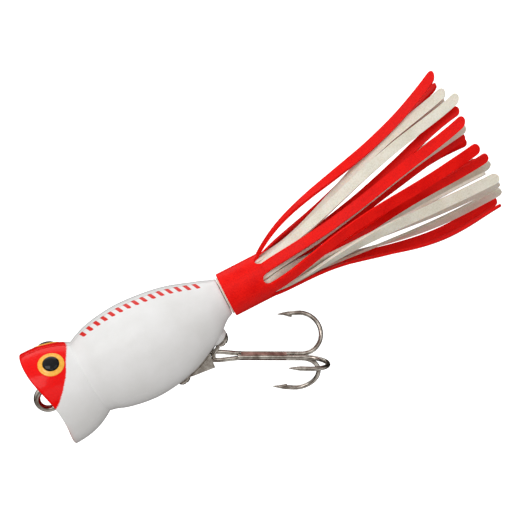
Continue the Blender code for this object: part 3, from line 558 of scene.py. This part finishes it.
def hook_frame():
    return (Vector((math.cos(HOOK_PITCH), 0.0, -math.sin(HOOK_PITCH))),
            Vector((math.sin(HOOK_PITCH), 0.0, math.cos(HOOK_PITCH))))


def hook_point(u, r, azimuth):
    along, up = hook_frame()
    return PIVOT + along * u + (up * math.sin(azimuth) - Y_AXIS * math.cos(azimuth)) * r


def hook_arm(azimuth):
    """Centre line of one hook from the shank to the point, with the wire's radius at each place."""
    shank = [(u, WIRE_OFFSET) for u in (5.7, 7.5, 9.0, 11.0, 13.0, 15.0, 17.0, 18.5)]
    centre = (BEND_U, WIRE_OFFSET + BEND_RADIUS)
    outline = shank + arc(centre, BEND_RADIUS, -math.pi / 2, math.pi / 2 + BEND_OVER, 36)
    start, tip = outline[-1], (TIP_U, TIP_R)
    length = math.dist(start, tip)
    plain = len(outline)
    steps = [i / 40 for i in range(1, 41)]
    outline += [(mix(start[0], tip[0], f), mix(start[1], tip[1], f)) for f in steps]
    radii = [WIRE] * plain
    for f in steps:
        left = (1.0 - f) * length
        radii.append(WIRE * min(1.0, 0.07 + 0.93 * (max(0.0, left) / 2.6) ** 0.72))
    lefts = [FAR_FROM_POINT] * plain + [(1.0 - f) * length for f in steps]
    return [hook_point(u, r, azimuth) for u, r in outline], radii, lefts


def barb_bulge(lefts, direction):
    """A cut barb: it rises slowly from the point's side and ends in a step towards the bend."""
    path_back = hook_frame()[0] * 0.45

    def bulge(i, out):
        left = lefts[i]
        facing = max(0.0, out.dot(direction) - 0.35) / 0.65
        if not BARB_FROM < left < BARB_TO or facing <= 0.0:
            return Vector()
        if left < BARB_PEAK:
            rise = (left - BARB_FROM) / (BARB_PEAK - BARB_FROM)
        else:
            rise = (BARB_TO - left) / (BARB_TO - BARB_PEAK)
        return direction * (BARB_HEIGHT * rise * facing) + (path_back * 0.5 * rise * facing)
    return bulge


def make_hook(finish):
    azimuths = [FIRST_AZIMUTH - math.tau * k / 3 for k in range(3)]
    arms = [hook_arm(w) for w in azimuths]
    along, up = hook_frame()
    round_end = [PIVOT + along * a + up * b
                 for a, b in arc((0.0, 0.0), LOOP_RADIUS, math.radians(80), math.radians(280), 24)]
    first = [arms[0][0][0], hook_point(4.6, 0.64, azimuths[0] - 0.35),
             hook_point(3.3, 0.78, math.radians(96)), hook_point(1.6, 0.95, math.radians(90)), round_end[0]]
    second = [round_end[-1], hook_point(1.6, 0.95, math.radians(-90)),
              hook_point(3.3, 0.78, math.radians(-96)), hook_point(4.6, 0.64, azimuths[2] + 0.2),
              arms[2][0][0]]
    middle = smooth_path(first, 7)[1:-1] + round_end + smooth_path(second, 7)[1:-1]
    path = arms[0][0][::-1] + middle + arms[2][0]
    radii = arms[0][1][::-1] + [WIRE] * len(middle) + arms[2][1]
    lefts = arms[0][2][::-1] + [FAR_FROM_POINT] * len(middle) + arms[2][2]
    inward = [(hook_point(18.0, 0.0, w) - hook_point(18.0, 1.0, w)).normalized() for w in azimuths]
    half = len(path) // 2
    upper, lower = barb_bulge(lefts, inward[0]), barb_bulge(lefts, inward[2])
    add_piece("hook_pair_wire", *sweep(path, lambda i: radii[i], 22,
                                       lambda i, out: (upper if i < half else lower)(i, out)),
              "treble_hook", "nickel_plate", finish, ["hook_double"], 50)
    path, radii_s, lefts_s = arms[1]
    path = [hook_point(5.25, WIRE_OFFSET, azimuths[1]), hook_point(5.4, WIRE_OFFSET, azimuths[1])] + path
    radii_s = [WIRE * 0.8, WIRE] + radii_s
    lefts_s = [FAR_FROM_POINT] * 2 + lefts_s
    add_piece("hook_third_wire", *sweep(path, lambda i: radii_s[i], 22, barb_bulge(lefts_s, inward[1])),
              "treble_hook", "nickel_plate", finish, ["hook_single"], 50)


# ---- skirt ----

SLEEVE_STEPS = 12
TIP_ANGLES = (0, 20, 38, 54, 67, 77, 84, 89)  # degrees round the end of a strand
CUT_WAVE, SOFT_EDGE = 0.05, 0.1


def strand_at(root, tip, start, u):
    """Centre, outward and across directions of a strand at u from the sleeve to the tip."""
    x, y, z, leave_y, leave_z, arrive_z, bow_y, bow_z, sway_z, facing = tip
    length = x - root.x
    bow = 16.0 * (u * (1.0 - u))**2
    lift = bow_z * bow + sway_z * bow * (2.0 - 4.0 * u)
    centre = Vector((mix(root.x, x, u),
                     hermite(root.y, y, leave_y * length, (y - root.y) * ARRIVE_Y, u) + bow_y * bow,
                     hermite(root.z, z, leave_z * length, arrive_z * length, u) + lift))
    turn = (math.radians(facing) - start + math.pi) % math.tau - math.pi
    reach = min(1.0, u / TURNED)
    look = start + turn * reach * reach * (3.0 - 2.0 * reach)
    out = Vector((0.0, -math.cos(look), math.sin(look)))
    return centre, out, Vector((0.0, math.sin(look), math.cos(look)))


def make_layer(name, slot, finish):
    """The sleeve as a polar grid with round-ended slits, then each strand grown from its columns."""
    front_x, inner, outer, width, free_width, first_angle, strands = LAYERS[name]
    count, strand_columns, slit_columns, steps = len(strands), 9, 8, 64
    middle, thick = (inner + outer) / 2, outer - inner
    half_angle = width / 2 / middle
    pitch = math.tau / count
    slit_half = (pitch - 2 * half_angle) * middle / 2
    notch = min(1.1, slit_half)
    points, faces = [], []

    def polar(x, radius, angle):
        points.append(Vector((x, -radius * math.cos(angle), TAIL_Z + radius * math.sin(angle))))
        return len(points) - 1

    columns = []
    for k in range(count):
        centre = math.radians(first_angle) + k * pitch
        columns += [(centre + half_angle * (2 * c / (strand_columns - 1) - 1), 1.0)
                    for c in range(strand_columns)]
        for c in range(1, slit_columns):
            across = 2 * c / slit_columns - 1
            columns.append((centre + pitch / 2 + across * slit_half / middle, 1 - math.sqrt(1 - across**2)))
    stations = [front_x, front_x + 0.15]
    stations += [mix(front_x + 0.3, SLIT_X - 0.3, i / SLEEVE_STEPS) for i in range(SLEEVE_STEPS + 1)] + [None]
    grid = []
    for s, x in enumerate(stations):
        edge = 0.12 * (s == 0)
        row = []
        for angle, reach in columns:
            where = SLIT_X + notch * reach if x is None else x
            row.append((polar(where, outer - edge, angle), polar(where, inner + edge, angle)))
        grid.append(row)
    total = len(columns)
    block = strand_columns + slit_columns - 1
    for j in range(total):
        i = (j + 1) % total
        faces.append((grid[0][j][1], grid[0][i][1], grid[0][i][0], grid[0][j][0]))
        for k in range(len(stations) - 1):
            a, b, c, d = grid[k][j], grid[k][i], grid[k + 1][i], grid[k + 1][j]
            faces += [(a[0], b[0], c[0], d[0]), (a[1], d[1], c[1], b[1])]
        if j % block >= strand_columns - 1:
            a, b = grid[-1][j], grid[-1][i]
            faces.append((a[0], b[0], b[1], a[1]))
    for k, tip in enumerate(strands):
        start = math.radians(first_angle) + k * pitch
        root = Vector((STRAND_START_X, -middle * math.cos(start), TAIL_Z + middle * math.sin(start)))
        sagitta = middle * (1 - math.cos(half_angle))
        length = tip[0] - root.x
        last = [grid[-1][block * k + c] for c in range(strand_columns)]
        rounding = free_width / 2
        ends = [1.0 - rounding / length * (1.0 - math.sin(math.radians(d))) for d in TIP_ANGLES]
        for u in [i / steps * ends[0] for i in range(steps)] + ends:
            centre, out, wide = strand_at(root, tip, start, u)
            settled = min(1.0, u / SETTLE)
            half = mix(width, free_width, settled) / 2
            deep = thick * mix(1.0, THIN, settled)
            past = max(0.0, (u - ends[0]) * length / rounding)
            half *= math.sqrt(max(0.0, 1.0 - past**2))
            flat = max(0.0, 1.0 - 3.0 * u)
            uneven = noise.noise(Vector((centre.x * 0.16, k * 7.3, len(strands))))
            wave = CUT_WAVE * min(1.0, 4 * u) * uneven
            row = []
            for c in range(strand_columns):
                f = 2 * c / (strand_columns - 1) - 1
                base = centre + wide * (half * f + wave) + out * (sagitta * (0.5 - f * f) * flat)
                for way in (0.5, -0.5):
                    points.append(base + out * (deep * way))
                row.append((len(points) - 2, len(points) - 1))
            for c in range(strand_columns - 1):
                faces += [(last[c][0], last[c + 1][0], row[c + 1][0], row[c][0]),
                          (last[c][1], row[c][1], row[c + 1][1], last[c + 1][1])]
            faces += [(last[0][0], row[0][0], row[0][1], last[0][1]),
                      (last[-1][0], last[-1][1], row[-1][1], row[-1][0])]
            last = row
        faces += [(last[c][0], last[c + 1][0], last[c + 1][1], last[c][1]) for c in range(strand_columns - 1)]
    piece = add_piece(name + "_rubber", points, faces, "skirt", slot, finish, [name], 45)
    bevel = piece.modifiers.new("Soft edge", "BEVEL")
    bevel.width, bevel.segments, bevel.limit_method = SOFT_EDGE * MM, 2, "ANGLE"
    bevel.angle_limit = math.radians(50)
    bevel.use_clamp_overlap = True


# ---- stage ----

def add_light(name, place, size, power, colour=(1.0, 1.0, 1.0)):
    light = bpy.data.lights.new(name, "AREA")
    light.shape = "RECTANGLE"
    light.size, light.size_y, light.energy, light.color = size[0], size[1], power, colour
    made = bpy.data.objects.new(name, light)
    made.location = place
    made.rotation_euler = (TARGET * MM - Vector(place)).to_track_quat("-Z", "Y").to_euler()
    bpy.context.scene.collection.objects.link(made)


def make_floor():
    """A wide pale floor, left out of reflections and of bounce light."""
    reach, z = FLOOR_REACH, FLOOR_Z * MM
    corners = [(-reach, -reach, z), (reach, -reach, z), (reach, reach, z), (-reach, reach, z)]
    mesh = bpy.data.meshes.new("floor")
    mesh.from_pydata(corners, [], [(0, 1, 2, 3)])
    made, tree, shader = shader_of("pale_floor")
    cloud = ranged(tree, noise_node(tree, 90.0), 0.0, 1.0)
    tree.links.new(colours(tree, cloud, (0.90, 0.90, 0.90), (0.93, 0.93, 0.93)),
                   shader.inputs["Base Color"])
    tree.links.new(ranged(tree, noise_node(tree, 20.0), 0.85, 0.95), shader.inputs["Roughness"])
    shader.inputs["Emission Color"].default_value = (1.0, 1.0, 1.0, 1.0)
    shader.inputs["Emission Strength"].default_value = 0.55
    mesh.materials.append(made)
    floor = bpy.data.objects.new("floor", mesh)
    bpy.context.scene.collection.objects.link(floor)
    floor.visible_diffuse = floor.visible_glossy = False


def make_world():
    """A world that darkens towards the horizon and behind the lure, for the metal to reflect."""
    world = bpy.data.worlds.new("studio")
    bpy.context.scene.world = world
    world.use_nodes = True
    tree = world.node_tree
    place = add_node(tree, "ShaderNodeTexCoord")
    split = add_node(tree, "ShaderNodeSeparateXYZ")
    ramp = tree.nodes.new("ShaderNodeValToRGB")
    tree.links.new(place.outputs["Generated"], split.inputs[0])
    tree.links.new(ranged(tree, split.outputs["Z"], 0.0, 1.0, -1.0, 1.0), ramp.inputs["Fac"])
    bands = ramp.color_ramp.elements
    bands[0].position, bands[0].color = 0.0, (0.95, 0.94, 0.93, 1.0)
    bands[1].position, bands[1].color = 1.0, (0.95, 0.95, 0.95, 1.0)
    for position, colour in ((0.25, (0.70, 0.69, 0.68)), (0.42, (0.34, 0.32, 0.30)),
                             (0.50, (0.16, 0.14, 0.13)), (0.62, (0.42, 0.40, 0.38)),
                             (0.78, (0.85, 0.84, 0.83))):
        bands.new(position).color = (*colour, 1.0)
    behind = add_node(tree, "ShaderNodeMath", operation="MULTIPLY")
    tree.links.new(ranged(tree, split.outputs["Y"], 0.0, 1.0, -0.05, 0.30), behind.inputs[0])
    tree.links.new(ranged(tree, split.outputs["Z"], 1.0, 0.0, 0.25, 0.70), behind.inputs[1])
    sky = colours(tree, behind.outputs[0], ramp.outputs["Color"], (0.05, 0.042, 0.037))
    tree.links.new(sky, tree.nodes["Background"].inputs["Color"])
    tree.nodes["Background"].inputs["Strength"].default_value = 0.86


def make_lights():
    add_light("key", (-0.25, -0.55, 0.85), (0.7, 0.5), 3.7)
    add_light("fill", (0.7, -0.7, 0.35), (0.6, 0.6), 1.0)
    add_light("front", (0.05, -0.95, 0.30), (0.5, 0.5), 0.8)
    add_light("back", (0.3, 0.8, 0.6), (0.9, 0.5), 1.7)


def make_camera():
    right, high = X_AXIS, Vector((0.0, math.sin(ELEVATION), math.cos(ELEVATION)))
    back = Vector((0.0, -math.cos(ELEVATION), math.sin(ELEVATION)))
    screen_right = right * math.cos(ROLL) - high * math.sin(ROLL)
    screen_up = right * math.sin(ROLL) + high * math.cos(ROLL)
    data = bpy.data.cameras.new("camera")
    data.lens, data.sensor_width = LENS, SENSOR
    data.clip_start, data.clip_end = 0.01, 200.0
    made = bpy.data.objects.new("camera", data)
    made.location = (TARGET + back * (FRAME_WIDTH * LENS / SENSOR)) * MM
    made.rotation_mode = "QUATERNION"
    rows = (screen_right, screen_up, back)
    made.rotation_quaternion = Matrix(rows).transposed().to_quaternion()
    bpy.context.scene.collection.objects.link(made)
    bpy.context.scene.camera = made
    bpy.context.scene.view_settings.view_transform = "Standard"


def main():
    make_camera()
    make_floor()
    make_world()
    make_lights()
    paint = paint_material()
    nickel = metal_material("nickel", (0.24, 0.20, 0.17), (0.62, 0.58, 0.52), (0.08, 0.18), 0.12, 1.5)
    braze = metal_material("braze", (0.24, 0.12, 0.10), (0.62, 0.40, 0.34), (0.35, 0.55), 0.15, 0.3)
    make_body(paint)
    make_pad(paint)
    make_eyes(moulded_material("iris", (0.90, 0.40, 0.01), (1.0, 0.52, 0.04), (0.2, 0.35), 0.6),
              moulded_material("pupil", (0.003, 0.003, 0.004), (0.008, 0.008, 0.010), (0.04, 0.07),
                               0.0, 0.22))
    make_line_tie(nickel)
    make_hook(nickel)
    red = rubber_material("red_rubber_skin", (0.72, 0.001, 0.001), (0.94, 0.008, 0.004), 0.05)
    white = rubber_material("white_rubber_skin", (0.70, 0.66, 0.54), (0.86, 0.83, 0.73), 0.3)
    make_layer("skirt_outer", "red_rubber", red)
    make_layer("skirt_middle", "white_rubber", white)
    make_layer("skirt_inner", "red_rubber", red)
    for name in ("hanger_guard", "hanger_bail", "hanger_screw_front", "hanger_screw_rear"):
        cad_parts[name].data.materials[0] = nickel
    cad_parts["hook_braze"].data.materials[0] = braze


main()
